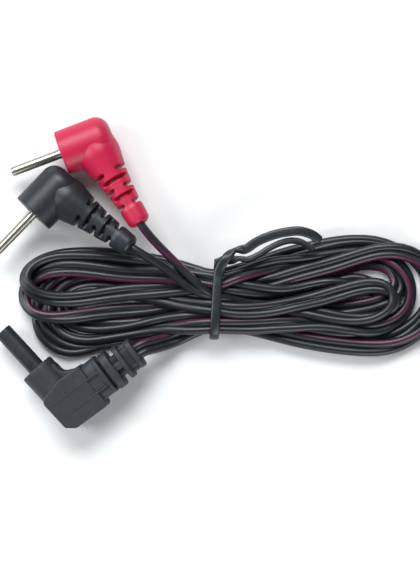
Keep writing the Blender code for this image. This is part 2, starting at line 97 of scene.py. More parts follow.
# Each turn between two crossings, in mm: reach of its tip; where it lies across at a middle and a far mark on
# the way out, at the tip, and at the same marks on the way back; its heights there; its roll at the tip.
TURNS = (
    (46.8, (-13.4, -13.8, -5.2, 3.6, 1.1), (2.9, 3.0, 4.6, 5.6, 4.6), 90),
    (-36.2, (-1.6, -1.6, -8.3, -14.6, -12.6), (1.6, 1.4, 1.6, 1.2, 2.4), 90),
    (40.7, (-10.4, -11.9, -4.3, 3.0, 2.6), (3.0, 3.0, 3.2, 3.5, 4.8), 90),
    (-42.4, (-0.8, 0.2, -6.0, -9.1, -7.7), (4.2, 2.6, 3.4, 4.8, 4.2), 90),
    (38.5, (-7.9, -6.4, -2.4, 1.8, -1.4), (3.4, 4.2, 4.6, 3.0, 1.4), 90),
    (-39.4, (0.6, 0.6, -8.3, -15.3, -14.8), (1.0, 1.2, 1.8, 1.2, 1.0), 90),
    (44.6, (-12.7, -12.7, -5.2, 4.7, 4.3), (1.2, 1.3, 2.0, 2.2, 2.4), 90),
    (-42.4, (2.6, 2.0, -1.4, -5.0, -3.7), (4.0, 5.2, 6.6, 6.6, 6.4), 270),
    (35.2, (-3.3, -2.2, -7.9, -12.7, -10.4), (4.9, 2.4, 2.0, 1.2, 1.6), 450),
    (-34.6, (-11.3, -9.6, -6.6, -3.9, -4.8), (3.6, 3.4, 3.0, 3.4, 4.6), 630),
    (38.1, (-7.1, -3.1, -5.4, -8.3, -9.4), (7.6, 7.4, 6.6, 5.6, 5.4), 630),
)
MIDDLE_MARK = 0.45
FAR_MARK = 0.86

UP = np.array((0.0, 0.0, 1.0))


# ---------------------------------------------------------------- lines


def eased(share):
    """A share between 0 and 1 that starts and stops softly: 3 s^2 - 2 s^3."""
    return share * share * (3 - 2 * share)


def signed_power(values, power):
    """The size of each value raised to a power, with its sign kept."""
    return np.sign(values) * np.abs(values) ** power


def unit(rows):
    """Each row divided by its length."""
    return rows / np.maximum(np.linalg.norm(rows, axis=-1, keepdims=True), 1e-12)


def smooth_line(points, step):
    """Points at equal steps along the cubic through the given ones, with chord-weighted tangents."""
    knots = np.array(points, float)
    ends = (2 * knots[0] - knots[1], 2 * knots[-1] - knots[-2])
    padded = np.vstack([ends[0], knots, ends[1]])
    chord = np.linalg.norm(np.diff(padded[:, :3], axis=0), axis=1)[:, None]
    slope = np.diff(padded, axis=0) / chord
    bend = (slope[:-1] * chord[1:] + slope[1:] * chord[:-1]) / (chord[:-1] + chord[1:])
    t = np.linspace(0.0, 1.0, 40, endpoint=False)[None, :, None]
    start, stop = knots[:-1, None], knots[1:, None]
    span = chord[1:-1, None]
    away, into = bend[:-1, None] * span, bend[1:, None] * span
    cubic = ((2 * t**3 - 3 * t**2 + 1) * start + (t**3 - 2 * t**2 + t) * away
             + (3 * t**2 - 2 * t**3) * stop + (t**3 - t**2) * into)
    dense = np.vstack([cubic.reshape(-1, knots.shape[1]), knots[-1:]])
    return even_steps(dense, step)


def distance_along(path):
    """Running sum of the steps' lengths, from 0."""
    return np.concatenate([[0.0], np.cumsum(np.linalg.norm(np.diff(path, axis=0), axis=1))])


def even_steps(line, step):
    """The line sampled at equal steps of its length, with its other columns carried along."""
    run = distance_along(line[:, :3])
    marks = np.linspace(0.0, run[-1], max(2, round(run[-1] / step)) + 1)
    return np.column_stack([np.interp(marks, run, column) for column in line.T])


def plug_frame(place):
    """A plug's own frame as a matrix: turned by heading, then lift, then roll."""
    spot, (heading, lift, roll) = place
    turn = Euler((math.radians(roll), math.radians(-lift), math.radians(heading)))
    return np.array(Matrix.LocRotScale(Vector(spot), turn, None))


def placed(matrix, points):
    """Points moved by a 4 x 4 matrix: turn times point, plus shift."""
    return np.asarray(points, float) @ matrix[:3, :3].T + matrix[:3, 3]


def tail_points(place, *reaches):
    """Places on a plug's tail axis, at the given distances from its elbow."""
    return placed(plug_frame(place), [(reach, 0.0, 0.0) for reach in reaches])


# ---------------------------------------------------------------- the lead's path


def twin_keys():
    """Places and roll of the twin's middle line: out of the device plug, then turn after turn of the hank."""
    keys = [(*point, 0.0) for point in tail_points(DEVICE_PLACE, 0.0150, 0.0166, 0.0181, 0.0193)]
    keys += [(*point, 0.0) for point in (*DEVICE_ROUTE, TOWARDS_WAIST)]
    for index, (across, height, roll) in enumerate(CROSSINGS):
        keys.append((TIE_CENTRE[0], across * MM, height * MM, roll))
        if index == len(TURNS):
            break
        reach, sides, heights, tip_roll = TURNS[index]
        next_roll = CROSSINGS[index + 1][2]
        rolls = (roll, (roll + tip_roll) / 2, tip_roll, (tip_roll + next_roll) / 2, next_roll)
        shares = (MIDDLE_MARK, FAR_MARK, 1.0, FAR_MARK, MIDDLE_MARK)
        for share, side, level, turn in zip(shares, sides, heights, rolls):
            keys.append((TIE_CENTRE[0] + share * (reach * MM - TIE_CENTRE[0]), side * MM, level * MM, turn))
    keys.append((*SPLIT, CROSSINGS[-1][2]))
    return keys


def planned_strands():
    """Both conductors before they settle: side by side in the twin, then each along its own single lead."""
    line = smooth_line(twin_keys(), LEAD_STEP)
    centre, roll = line[:, :3], np.radians(line[:, 3])
    window = np.hanning(13) / np.hanning(13).sum()
    roll = np.convolve(np.pad(roll, 6, mode="edge"), window, mode="valid")
    along = unit(np.gradient(centre, axis=0))
    flat = unit(np.cross(UP, along))
    side = np.cos(roll)[:, None] * flat + np.sin(roll)[:, None] * np.cross(along, flat)
    plain, striped = centre - side * WIRE_RADIUS, centre + side * WIRE_RADIUS
    into_red = tail_points(RED_PLACE, *INTO_TAIL)
    into_black = tail_points(BLACK_PLACE, *INTO_TAIL)
    red = smooth_line([striped[-1], *RED_ROUTE[-2::-1], *into_red], LEAD_STEP)[1:]
    black = smooth_line([plain[-1], *BLACK_ROUTE[-2::-1], *into_black], LEAD_STEP)[1:]
    return np.vstack([plain, black]), np.vstack([striped, red]), len(centre)


def near_pairs(points, strand, index, twin, reach):
    """Pairs of points closer than reach that aren't neighbours along the lead."""
    found = []
    small = points.astype(np.float32)
    square = (small**2).sum(1)
    for start in range(0, len(small), 512):
        rows = small[start:start + 512]
        gap = square[start:start + 512, None] + square[None] - 2 * rows @ small.T
        first, second = np.nonzero(gap < reach**2)
        first += start
        keep = second > first
        found.append(np.column_stack([first[keep], second[keep]]))
    first, second = np.vstack(found).T
    apart = np.abs(index[first] - index[second])
    same = strand[first] == strand[second]
    partners = ~same & (apart < 4) & (np.minimum(index[first], index[second]) < twin)
    keep = ~((same & (apart < 5)) | partners)
    return first[keep], second[keep]


def settled(plain, striped, twin, rounds):
    """Lets the hank come to rest.

    In each round every point drops a little, is drawn weakly towards its planned place, is smoothed by the
    fourth difference along its own strand (the lead's stiffness), and is then moved so that steps keep their
    length, rungs hold the two conductors one pitch apart, strands that touch move apart, and nothing enters
    the ground, the tie or the device plug's strain relief. Nothing keeps a rung square to the lead, so where
    rungs lean, the two conductors of the twin overlap.
    """
    count = len(plain)
    points = np.vstack([plain, striped])
    home = points.copy()
    strand = np.repeat((0, 1), (count, len(striped)))
    index = np.concatenate([np.arange(count), np.arange(len(striped))])
    ahead = np.concatenate([np.arange(count - 1), count + np.arange(len(striped) - 1)])
    step = np.full(len(ahead), np.median(np.linalg.norm(home[ahead + 1] - home[ahead], axis=1)))
    one = np.arange(twin)
    from_end = np.concatenate([count - np.arange(count), len(striped) - np.arange(len(striped))])
    fixed = (index < 14) | (from_end <= 6)
    at_waist = np.abs(home[:, 0] - TIE_CENTRE[0]) < TIE_REACH
    hold = np.select([fixed, index >= twin, at_waist], [1.0, 0.03, 0.05], 0.007)
    lift_hold = np.where(fixed | at_waist | (index >= twin), hold, 0.1 * hold)
    pull = np.column_stack([hold, hold, lift_hold])
    drop = 0.01 * MM * (1 - np.minimum(2 * hold, 1.0))
    relief = plug_frame(DEVICE_PLACE)

    def shift(first, second, move):
        """Adds a move to the first points and takes it from the second."""
        for axis in range(3):
            points[:, axis] += np.bincount(first, move[:, axis], len(points))
            points[:, axis] -= np.bincount(second, move[:, axis], len(points))

    def draw_together(first, second, length, share):
        """Brings pairs of points a share of the way to a length apart."""
        gap = points[second] - points[first]
        far = np.linalg.norm(gap, axis=1) + 1e-12
        shift(first, second, (0.5 * share * (far - length) / far)[:, None] * gap)

    for turn in range(rounds):
        if turn % 12 == 0:
            first, second = near_pairs(points, strand, index, twin, 1.5 * TWIN_PITCH)
        width = TWIN_PITCH * np.interp(turn, (0, 0.6 * rounds), (0.25, 1.0))
        points[:, 2] -= drop
        points += pull * (home - points)
        for part in (points[:count], points[count:]):
            for reach, share in ((1, 0.8), (3, 0.5)):
                bend = (part[:-4 * reach] - 4 * part[reach:-3 * reach] + 6 * part[2 * reach:-2 * reach]
                        - 4 * part[3 * reach:-reach] + part[4 * reach:]) / 16
                part[2 * reach:-2 * reach] -= share * bend
        for _ in range(3):
            draw_together(ahead, ahead + 1, step, 0.5)
            draw_together(one, one + count, TWIN_PITCH, 0.9)
            gap = points[second] - points[first]
            far = np.linalg.norm(gap, axis=1) + 1e-12
            lap = np.maximum(width - far, 0.0)
            touches = np.bincount(first[lap > 0], minlength=len(points))
            touches += np.bincount(second[lap > 0], minlength=len(points))
            ease = 0.5 / np.sqrt(np.maximum(np.maximum(touches[first], touches[second]), 1))
            shift(first, second, -(0.5 * ease * lap / far)[:, None] * gap)
            keep_in_tie(points)
            keep_off_relief(points, relief, index)
            points[:, 2] = np.maximum(points[:, 2], WIRE_RADIUS)
    return points[:count], points[count:]


def keep_in_tie(points):
    """Points inside the tie's width are brought inside its rounded opening."""
    near = np.abs(points[:, 0] - TIE_CENTRE[0]) < TIE_REACH
    offset = points[near] - TIE_CENTRE
    room = np.array((TIE_HALF_WIDTH, TIE_HALF_HEIGHT)) - TIE_CLEARANCE - WIRE_RADIUS
    reach = (np.abs(offset[:, 1:] / room) ** 4).sum(axis=1) ** 0.25
    offset[:, 1:] /= np.maximum(reach, 1.0)[:, None]
    points[near] = offset + TIE_CENTRE


def keep_off_relief(points, relief, index):
    """Strands stay beside the strain relief's first disc and under its other two."""
    own = (points - relief[:3, 3]) @ relief[:3, :3]
    hank = index > 40
    along, across = own[:, 0], own[:, 1]
    beside = hank & (along > 9.0 * MM) & (along < 13.2 * MM) & (across > -4.5 * MM) & (across < 5.2 * MM)
    under = hank & (along >= 13.2 * MM) & (along < 19.0 * MM) & (np.abs(across) < 4.8 * MM)
    own[beside, 1] = 5.2 * MM
    depth = np.interp(along, (10.7 * MM, RELIEF_END), (3.4 * MM, 2.7 * MM)) + WIRE_RADIUS
    own[under, 2] = np.minimum(own[under, 2], -depth[under])
    moved = beside | under
    points[moved] = placed(relief, own[moved])


# ---------------------------------------------------------------- surfaces


def added(name, data):
    """A new object in the scene with the given data."""
    made = bpy.data.objects.new(name, data)
    bpy.context.scene.collection.objects.link(made)
    return made


def mesh_piece(name, points, faces, finish, around=None, sharp=40.0):
    """A mesh object from arrays, shaded smooth except at edges sharper than the given angle."""
    mesh = bpy.data.meshes.new(name)
    mesh.from_pydata(points.tolist(), [], faces)
    mesh.update()
    if around is not None:
        layer = mesh.attributes.new("around", "FLOAT_VECTOR", "POINT")
        layer.data.foreach_set("vector", around.astype(np.float32).ravel())
    mesh.shade_smooth()
    mesh.set_sharp_from_angle(angle=math.radians(sharp))
    mesh.materials.append(finish)
    return added(name, mesh)


def skin(rings):
    """Points and faces of a closed skin with flat ends over rings: (stations, places round, 3)."""
    stations, count = rings.shape[:2]
    places = np.arange(count)
    base = np.arange(stations - 1)[:, None] * count
    following = np.roll(places, -1)
    quads = np.stack(np.broadcast_arrays(base + places, base + following, base + count + following,
                                         base + count + places), axis=-1).reshape(-1, 4)
    ends = [places[::-1].tolist(), (places + (stations - 1) * count).tolist()]
    return rings.reshape(-1, 3), quads.tolist() + ends


def carried(path, side, section):
    """Rings of a section carried along a path: point + side * across + (along x side) * upward.

    section is (places round, 2), or one such array for each point of the path.
    """
    along = unit(np.gradient(path, axis=0))
    side = unit(side - (side * along).sum(axis=1, keepdims=True) * along)
    upward = np.cross(along, side)
    section = np.broadcast_to(section, (len(path), *np.shape(section)[-2:]))
    return path[:, None] + section[..., :1] * side[:, None] + section[..., 1:] * upward[:, None]


def round_places(count):
    """Cosine and sine of equal steps round a circle."""
    angle = np.linspace(0.0, 2 * np.pi, count, endpoint=False)
    return np.cos(angle), np.sin(angle)


def oval_section(half_width, half_height, squareness, count):
    """A superellipse: 1 is an ellipse, near 0 a rectangle with round corners."""
    cosine, sine = round_places(count)
    return np.column_stack([signed_power(cosine, squareness) * half_width,
                            signed_power(sine, squareness) * half_height])


def barrel(stations, squareness=1.0, count=96, dent=None):
    """Rings along X of oval sections: stations are (x, half width, half height) rows.

    dent(x, cosine, sine) gives a share of the section that is kept at each place, for slots.
    """
    reach, half_width, half_height = np.array(stations, float).T
    cosine, sine = round_places(count)
    across = signed_power(cosine, squareness)
    upward = signed_power(sine, squareness)
    keep = np.ones((len(reach), count)) if dent is None else dent(reach[:, None], cosine[None], sine[None])
    return np.stack([np.broadcast_to(reach[:, None], keep.shape),
                     half_width[:, None] * across * keep, half_height[:, None] * upward * keep], axis=-1)


def rounded_ends(low, high, half_width, half_height, edge, steps=5):
    """Stations of a slab between two places along X with quarter-round edges."""
    angle = np.linspace(0.0, np.pi / 2, steps)
    inset, ahead = edge * (1 - np.sin(angle)), edge * (1 - np.cos(angle))
    first = np.column_stack([low + ahead, half_width - inset, half_height - inset])
    last = np.column_stack([high - ahead, half_width - inset, half_height - inset])[::-1]
    return np.vstack([first, last])


def turned(points, matrix):
    """Rings moved by a 4 x 4 matrix."""
    return placed(matrix, points.reshape(-1, 3)).reshape(points.shape)


def turn_in_plane(degrees):
    """A turn in a plug's own flat plane, as a matrix."""
    return np.array(Matrix.LocRotScale(Vector(), Euler((0.0, 0.0, math.radians(degrees))), None))


def merged(name, shells, cutters, finish, sharp=32.0):
    """One closed piece: shells joined and cutters taken away by exact Booleans, then near points welded."""
    pieces = [mesh_piece(f"{name}_{index}", *skin(rings), finish) for index, rings in enumerate(shells)]
    tools = [mesh_piece(f"{name}_cut_{index}", *skin(rings), finish) for index, rings in enumerate(cutters)]
    base = pieces[0]
    for other in pieces[1:] + tools:
        step = base.modifiers.new("Join", "BOOLEAN")
        step.operation = "DIFFERENCE" if other in tools else "UNION"
        step.solver = "EXACT"
        step.object = other
    bpy.context.view_layer.update()
    mesh = bpy.data.meshes.new_from_object(base.evaluated_get(bpy.context.evaluated_depsgraph_get()))
    for piece in pieces + tools:
        bpy.data.objects.remove(piece)
    welded = bmesh.new()
    welded.from_mesh(mesh)
    bmesh.ops.remove_doubles(welded, verts=welded.verts, dist=WELD)
    bmesh.ops.dissolve_degenerate(welded, edges=welded.edges, dist=WELD)
    welded.to_mesh(mesh)
    welded.free()
    mesh.name = name
    mesh.materials.clear()
    mesh.materials.append(finish)
    mesh.shade_smooth()
    mesh.set_sharp_from_angle(angle=math.radians(sharp))
    return added(name, mesh)


# ---------------------------------------------------------------- finishes


def shader_group(name, inputs, outputs):
    """A shader node group with named float or colour sockets; returns it with its input and output nodes."""
    group = bpy.data.node_groups.new(name, "ShaderNodeTree")
    for label, kind, value in inputs:
        socket = group.interface.new_socket(label, in_out="INPUT", socket_type=kind)
        if value is not None:
            socket.default_value = value
    for label, kind in outputs:
        group.interface.new_socket(label, in_out="OUTPUT", socket_type=kind)
    return group, group.nodes.new("NodeGroupInput"), group.nodes.new("NodeGroupOutput")


def node(tree, kind, settings=None, **values):
    """A shader node, with its settings and its input values by name."""
    made = tree.nodes.new(kind)
    for key, value in (settings or {}).items():
        setattr(made, key, value)
    for key, value in values.items():
        made.inputs[key.replace("_", " ")].default_value = value
    return made


def maths(tree, operation, first, second=None, clamp=False):
    """A maths node; its operands are sockets or numbers."""
    made = tree.nodes.new("ShaderNodeMath")
    made.operation = operation
    made.use_clamp = clamp
    for slot, operand in enumerate((first, second)):
        if isinstance(operand, bpy.types.NodeSocket):
            tree.links.new(operand, made.inputs[slot])
        elif operand is not None:
            made.inputs[slot].default_value = operand
    return made.outputs[0]


def mixed(tree, share, first, second):
    """Blends two colours by a share."""
    made = tree.nodes.new("ShaderNodeMix")
    made.data_type = "RGBA"
    for slot, operand in ((0, share), (6, first), (7, second)):
        if isinstance(operand, bpy.types.NodeSocket):
            tree.links.new(operand, made.inputs[slot])
        else:
            made.inputs[slot].default_value = operand
    return made.outputs[2]


def moulding_group():
    """Moulded plastic: fine grain from the tool, cloudy colour and faint rubbed patches."""
    group, given, result = shader_group("moulded plastic", (
        ("Colour", "NodeSocketColor", None), ("Worn colour", "NodeSocketColor", None),
        ("Roughness", "NodeSocketFloat", 0.5), ("Grain size", "NodeSocketFloat", 4000.0),
        ("Wear", "NodeSocketFloat", 0.3),
    ), (("Colour", "NodeSocketColor"), ("Roughness", "NodeSocketFloat"), ("Height", "NodeSocketFloat")))
    place = group.nodes.new("ShaderNodeTexCoord").outputs["Object"]
    link = group.links.new
    grain = node(group, "ShaderNodeTexNoise", Detail=3.0, Roughness=0.6)
    link(place, grain.inputs["Vector"])
    link(given.outputs["Grain size"], grain.inputs["Scale"])
    cloud = node(group, "ShaderNodeTexNoise", Scale=260.0, Detail=4.0, Roughness=0.55)
    link(place, cloud.inputs["Vector"])
    rub = node(group, "ShaderNodeTexNoise", Scale=900.0, Detail=5.0, Roughness=0.7, Distortion=0.6)
    link(place, rub.inputs["Vector"])
    above = maths(group, "SUBTRACT", rub.outputs["Fac"], 0.52, clamp=True)
    patch = maths(group, "MULTIPLY", above, 5.0, clamp=True)
    worn = maths(group, "MULTIPLY", patch, given.outputs["Wear"])
    clouded = maths(group, "MULTIPLY", cloud.outputs["Fac"], 0.25)
    base = mixed(group, clouded, given.outputs["Colour"], given.outputs["Worn colour"])
    link(mixed(group, worn, base, given.outputs["Worn colour"]), result.inputs["Colour"])
    rough = maths(group, "ADD", given.outputs["Roughness"],
                  maths(group, "MULTIPLY", maths(group, "SUBTRACT", cloud.outputs["Fac"], 0.5), 0.16))
    rough = maths(group, "ADD", rough, maths(group, "MULTIPLY", worn, 0.12), clamp=True)
    link(rough, result.inputs["Roughness"])
    link(maths(group, "ADD", maths(group, "MULTIPLY", grain.outputs["Fac"], 0.7),
               maths(group, "MULTIPLY", cloud.outputs["Fac"], 0.5)), result.inputs["Height"])
    return group


def lengthwise_group():
    """Streaks that run along a drawn or extruded piece, from its own around attribute."""
    group, given, result = shader_group("lengthwise streaks", (
        ("Fineness", "NodeSocketFloat", 8.0), ("Run", "NodeSocketFloat", 60.0),
    ), (("Streak", "NodeSocketFloat"),))
    around = node(group, "ShaderNodeAttribute", {"attribute_name": "around"})
    split = group.nodes.new("ShaderNodeSeparateXYZ")
    group.links.new(around.outputs["Vector"], split.inputs[0])
    joined = group.nodes.new("ShaderNodeCombineXYZ")
    fineness = given.outputs["Fineness"]
    group.links.new(maths(group, "MULTIPLY", split.outputs[0], fineness), joined.inputs[0])
    group.links.new(maths(group, "MULTIPLY", split.outputs[1], fineness), joined.inputs[1])
    group.links.new(maths(group, "MULTIPLY", split.outputs[2], given.outputs["Run"]), joined.inputs[2])
    noise = node(group, "ShaderNodeTexNoise", Scale=1.0, Detail=3.0, Roughness=0.55)
    group.links.new(joined.outputs[0], noise.inputs["Vector"])
    group.links.new(noise.outputs["Fac"], result.inputs["Streak"])
    return group


def stripe_group():
    """The coloured line on one conductor: a narrow part of the round, which wanders along the lead."""
    group, given, result = shader_group("coloured stripe", (
        ("Turn", "NodeSocketFloat", 0.0), ("Half width", "NodeSocketFloat", 0.5),
        ("Wander", "NodeSocketFloat", 0.3),
    ), (("Stripe", "NodeSocketFloat"),))
    around = node(group, "ShaderNodeAttribute", {"attribute_name": "around"})
    split = group.nodes.new("ShaderNodeSeparateXYZ")
    group.links.new(around.outputs["Vector"], split.inputs[0])
    run = node(group, "ShaderNodeTexNoise", {"noise_dimensions": "1D"}, Scale=22.0, Detail=1.0)
    group.links.new(split.outputs[2], run.inputs["W"])
    sway = maths(group, "MULTIPLY", maths(group, "SUBTRACT", run.outputs["Fac"], 0.5), given.outputs["Wander"])
    turn = maths(group, "ADD", given.outputs["Turn"], sway)
    facing = maths(group, "ADD", maths(group, "MULTIPLY", split.outputs[0], maths(group, "COSINE", turn)),
                   maths(group, "MULTIPLY", split.outputs[1], maths(group, "SINE", turn)))
    edge = maths(group, "COSINE", given.outputs["Half width"])
    group.links.new(maths(group, "MULTIPLY", maths(group, "SUBTRACT", facing, edge), 14.0, clamp=True),
                    result.inputs["Stripe"])
    return group


def finish_tree(name, roughness, metallic=0.0):
    """A new material, with its node tree and its shader."""
    made = bpy.data.materials.new(name)
    made.use_nodes = True
    shader = made.node_tree.nodes["Principled BSDF"]
    shader.inputs["Roughness"].default_value = roughness
    shader.inputs["Metallic"].default_value = metallic
    return made, made.node_tree, shader


def bumped(tree, shader, height, strength, distance):
    """Tilts the shader's normal by the slope of a height."""
    bump = node(tree, "ShaderNodeBump", Strength=strength, Distance=distance)
    tree.links.new(height, bump.inputs["Height"])
    tree.links.new(bump.outputs["Normal"], shader.inputs["Normal"])


def grouped(tree, group, **values):
    """A shader group placed in a material, with its input values by name."""
    made = tree.nodes.new("ShaderNodeGroup")
    made.node_tree = group
    for key, value in values.items():
        made.inputs[key.replace("_", " ")].default_value = value
    return made


def moulded(name, colour, worn, roughness, grain=4200.0, wear=0.3, depth=0.02 * MM):
    """Moulded plastic: cloudy colour, fine grain and faint rubbed patches."""
    made, tree, shader = finish_tree(name, roughness)
    skin_node = grouped(tree, MOULDING, Colour=(*colour, 1.0), Worn_colour=(*worn, 1.0), Roughness=roughness,
                        Grain_size=grain, Wear=wear)
    tree.links.new(skin_node.outputs["Colour"], shader.inputs["Base Color"])
    tree.links.new(skin_node.outputs["Roughness"], shader.inputs["Roughness"])
    bumped(tree, shader, skin_node.outputs["Height"], 0.5, depth)
    return made


def metal(name, colour, tint, roughness, fineness=9.0, run=50.0):
    """Drawn metal: streaks along it shift colour and roughness."""
    made, tree, shader = finish_tree(name, roughness, metallic=1.0)
    streak = grouped(tree, LENGTHWISE, Fineness=fineness, Run=run).outputs["Streak"]
    share = maths(tree, "MULTIPLY", maths(tree, "SUBTRACT", streak, 0.38, clamp=True), 3.2, clamp=True)
    tree.links.new(mixed(tree, share, (*colour, 1.0), (*tint, 1.0)), shader.inputs["Base Color"])
    tree.links.new(maths(tree, "ADD", maths(tree, "MULTIPLY", share, 0.14), roughness - 0.05),
                   shader.inputs["Roughness"])
    bumped(tree, shader, streak, 0.25, 0.02 * MM)
    return made


def insulation(name, colour, stripe=None):
    """Extruded PVC: die lines along it, cloudy gloss, and on one conductor a coloured line."""
    made, tree, shader = finish_tree(name, 0.32)
    streak = grouped(tree, LENGTHWISE, Fineness=3.0, Run=25.0).outputs["Streak"]
    worn = [1.7 * channel + 0.012 for channel in colour]
    cloudy = grouped(tree, MOULDING, Colour=(*colour, 1.0), Worn_colour=(*worn, 1.0), Roughness=0.38,
                     Grain_size=2600.0, Wear=0.25)
    shade = cloudy.outputs["Colour"]
    if stripe:
        line = grouped(tree, STRIPE, Turn=math.radians(38.0), Half_width=math.radians(36.0), Wander=0.5)
        shade = mixed(tree, line.outputs["Stripe"], shade, (*stripe, 1.0))
    tree.links.new(shade, shader.inputs["Base Color"])
    tree.links.new(cloudy.outputs["Roughness"], shader.inputs["Roughness"])
    bumped(tree, shader, maths(tree, "ADD", streak, maths(tree, "MULTIPLY", cloudy.outputs["Height"], 0.3)),
           0.35, 0.03 * MM)
    return made


MOULDING = moulding_group()
LENGTHWISE = lengthwise_group()
STRIPE = stripe_group()

RED_PVC = moulded("red plug PVC", (0.46, 0.005, 0.046), (0.54, 0.025, 0.08), 0.44, wear=0.15)
BLACK_PVC = moulded("black plug PVC", (0.008, 0.012, 0.016), (0.034, 0.043, 0.052), 0.44, wear=0.3)
DEVICE_PVC = moulded("device plug PVC", (0.014, 0.019, 0.024), (0.045, 0.055, 0.064), 0.56, wear=0.35,
                     depth=0.035 * MM)
SHROUD_PLASTIC = moulded("shroud plastic", (0.010, 0.015, 0.018), (0.035, 0.044, 0.050), 0.42, grain=3000.0)
HARD_PLASTIC = moulded("hard mould plastic", (0.03, 0.03, 0.034), (0.08, 0.08, 0.085), 0.5)
NATURAL_PLASTIC = moulded("natural plastic", (0.55, 0.54, 0.50), (0.66, 0.65, 0.60), 0.5)
NICKEL = metal("nickel plate", (0.60, 0.585, 0.52), (0.40, 0.385, 0.30), 0.30)
BRASS = metal("tinned brass", (0.70, 0.60, 0.38), (0.55, 0.44, 0.24), 0.34)
COPPER = metal("copper strands", (0.72, 0.34, 0.20), (0.42, 0.17, 0.09), 0.4, fineness=16.0)
IRON = metal("tie wire", (0.50, 0.50, 0.49), (0.34, 0.34, 0.33), 0.42)
PLAIN_INSULATION = insulation("plain insulation", (0.0085, 0.0105, 0.0125))
STRIPED_INSULATION = insulation("striped insulation", (0.0085, 0.0100, 0.0120), stripe=(0.060, 0.008, 0.034))
TIE_PVC = insulation("tie PVC", (0.013, 0.017, 0.020))


# ---------------------------------------------------------------- leads


def around_rows(run, count):
    """For each ring point the cosine and sine of its place round, and its ring's distance along."""
    cosine, sine = round_places(count)
    return np.stack(np.broadcast_arrays(cosine, sine, run[:, None]), axis=-1).reshape(-1, 3)


def tube_piece(name, path, side, radius, finish, count=16):
    """A round tube along a path; side is where its section starts, so that a stripe keeps its place."""
    rings = carried(path, side, oval_section(radius, radius, 1.0, count))
    return mesh_piece(name, *skin(rings), finish, around=around_rows(distance_along(path), count))


def level_frame(path):
    """At each point the direction level to the path's left, and the one square to it and to the path."""
    along = unit(np.gradient(path, axis=0))
    level = unit(np.cross(UP, along))
    return level, np.cross(along, level)


def steady_roll(path, side):
    """Roll of a side direction about the path from its level left, smoothed over 15 points."""
    level, square = level_frame(path)
    share = (side * level).sum(axis=1) + 1j * (side * square).sum(axis=1)
    window = np.hanning(17)[1:-1]
    share = np.convolve(np.pad(share, 7, mode="edge"), window / window.sum(), "valid")
    return np.unwrap(np.angle(share))


def refined(path, roll, factor=2):
    """A smoother path with more points, and its sides: level * cos(roll) + square * sin(roll)."""
    kernel = np.array((1.0, 4.0, 6.0, 4.0, 1.0)) / 16
    padded = [np.pad(column, 2, mode="reflect", reflect_type="odd") for column in path.T]
    softer = np.column_stack([np.convolve(column, kernel, "valid") for column in padded])
    softer[[0, -1]] = path[[0, -1]]
    fine = smooth_line(np.column_stack([softer, roll]), LEAD_STEP / factor)
    level, square = level_frame(fine[:, :3])
    turn = fine[:, 3:]
    return fine[:, :3], np.cos(turn) * level + np.sin(turn) * square


def leads():
    """The twin lead's two conductors from the device plug to the pin plugs, and the web between them."""
    plain, striped, twin = planned_strands()
    plain, striped = settled(plain, striped, twin, SETTLE_ROUNDS)
    middle = (plain[:twin] + striped[:twin]) / 2
    twin_roll = steady_roll(middle, unit(striped[:twin] - plain[:twin]))
    made = []
    for name, path, turn, finish, nodes in (
        ("plain_conductor", plain, np.pi, PLAIN_INSULATION,
         ("device_lead_plain", "black_lead_wire", "cord_hank")),
        ("striped_conductor", striped, 0.0, STRIPED_INSULATION, ("device_lead_striped", "red_lead_wire")),
    ):
        last = twin_roll[-1] + turn
        level_again = 2 * np.pi * round(last / (2 * np.pi))
        share = np.clip(np.arange(1, len(path) - twin + 1) / 14.0, 0.0, 1.0)
        roll = np.concatenate([twin_roll + turn, last + eased(share) * (level_again - last)])
        fine, side = refined(path, roll)
        piece = tube_piece(name, fine, side, WIRE_RADIUS, finish)
        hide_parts(*nodes)
        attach(piece, "root")
        made.append((piece, fine))
    middle, side = refined(middle, twin_roll)
    rings = carried(middle, side, oval_section(0.5 * MM, 0.32 * MM, 0.6, 8))
    around = around_rows(distance_along(middle), 8)
    web = mesh_piece("twin_web", *skin(rings), PLAIN_INSULATION, around)
    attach(web, "root")
    return made, web


# ---------------------------------------------------------------- plugs


def profile(points, steps=5):
    """A line through (along, radius, rounding) points, each corner rounded by an arc of its rounding."""
    spots = np.array([point[:2] for point in points], float)
    line = [spots[0]]
    for index in range(1, len(points) - 1):
        rounding = points[index][2]
        back, ahead = unit(spots[index - 1] - spots[index]), unit(spots[index + 1] - spots[index])
        half = math.acos(float(np.clip(back @ ahead, -1.0, 1.0))) / 2
        if rounding <= 0.0 or half > 1.55:
            line.append(spots[index])
            continue
        reach = rounding / math.tan(half)
        centre = spots[index] + unit(back + ahead) * rounding / math.sin(half)
        first, last = spots[index] + back * reach - centre, spots[index] + ahead * reach - centre
        for share in np.linspace(0.0, 1.0, steps):
            line.append(centre + unit((1 - share) * first + share * last) * rounding)
    line.append(spots[-1])
    return np.array(line)


def resampled(line, step):
    """The same line with extra points, so that no step is longer than the given one."""
    rows = [line[:1]]
    for start, stop in zip(line, line[1:]):
        parts = max(1, math.ceil(np.linalg.norm(stop - start) / step))
        rows.append(start + (stop - start) * np.linspace(0.0, 1.0, parts + 1)[1:, None])
    return np.vstack(rows)


def round_stations(line):
    """Stations of a round barrel from (along, radius) rows."""
    return np.column_stack([line[:, 0], line[:, 1], line[:, 1]])


MOULD_SIDES = 112
PIN_SIDES = 40
SLOT_CENTRES = (8.0 + 1.9 * np.arange(5)) * MM
SLOT_HALF_WIDTH = 0.43 * MM
SLOT_SOFT = 0.18 * MM
SLOT_DEPTH = 0.40


